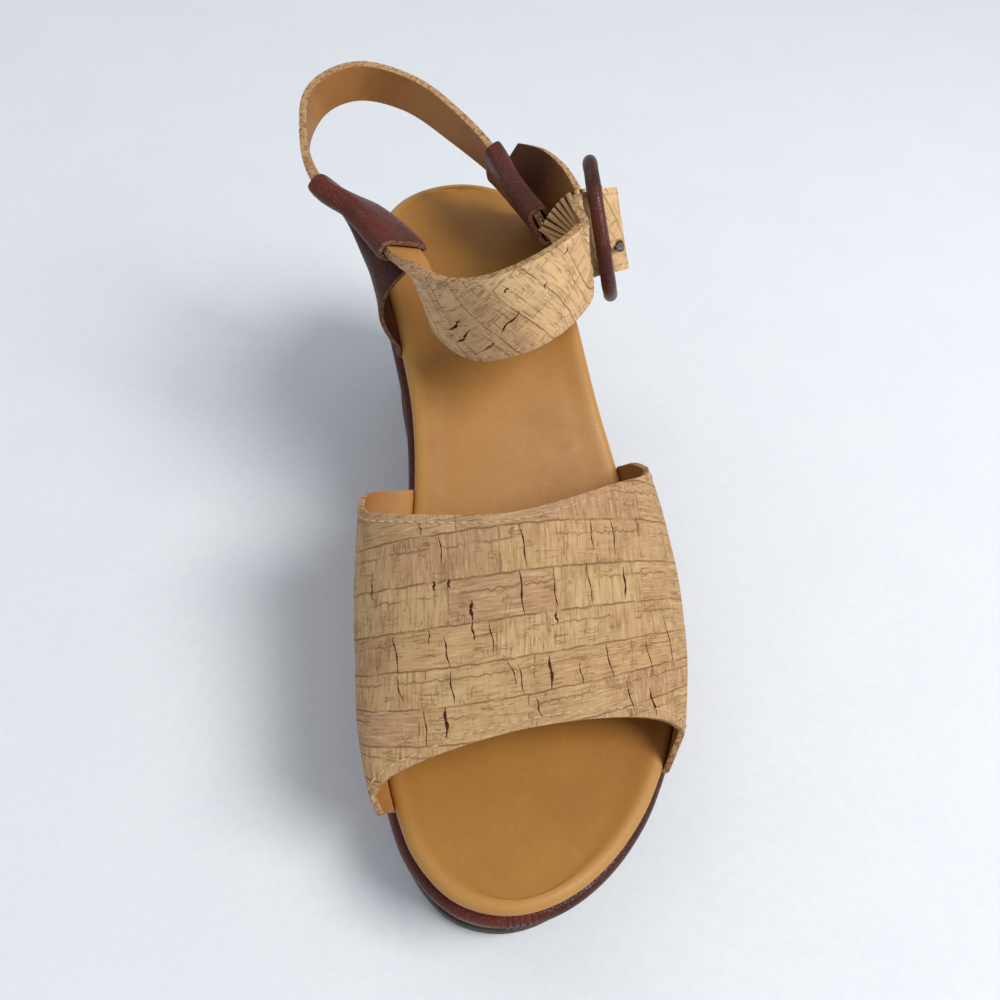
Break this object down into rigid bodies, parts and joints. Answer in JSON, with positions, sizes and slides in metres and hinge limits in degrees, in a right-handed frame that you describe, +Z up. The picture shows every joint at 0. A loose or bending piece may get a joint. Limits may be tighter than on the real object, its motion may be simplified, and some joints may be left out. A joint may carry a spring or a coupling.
{
  "type": "platform sandal",
  "caption": "Left platform sandal: leather-wrapped wedge, padded insole, broad cork toe strap and a buckled cork ankle strap carried by side loops.",
  "frame": {"origin": "middle of the whole sandal's bottom, on the floor", "axes": "+Y from the toe towards the heel, +Z up, -X towards the inner side of the foot"},
  "size_m": [0.104, 0.2532, 0.137],
  "materials": {
    "outsole": "matte",
    "wrap": "glossy pebbled reddish brown",
    "insole": "smooth honey tan",
    "cork": "matte cork facing on a tan lining",
    "quarter": "glossy pebbled reddish brown",
    "elastic": "ribbed",
    "buckle": "glossy pebbled reddish brown",
    "prong": "dark"
  },
  "bodies": {
    "root": {"outsole": "outsole", "platform": "wrap", "insole": "insole", "vamp": "cork", "quarter_inner": "quarter", "quarter_outer": "quarter", "ankle_strap": "cork", "elastic": "elastic", "buckle": "buckle", "prong": "prong"}
  },
  "joints": []
}
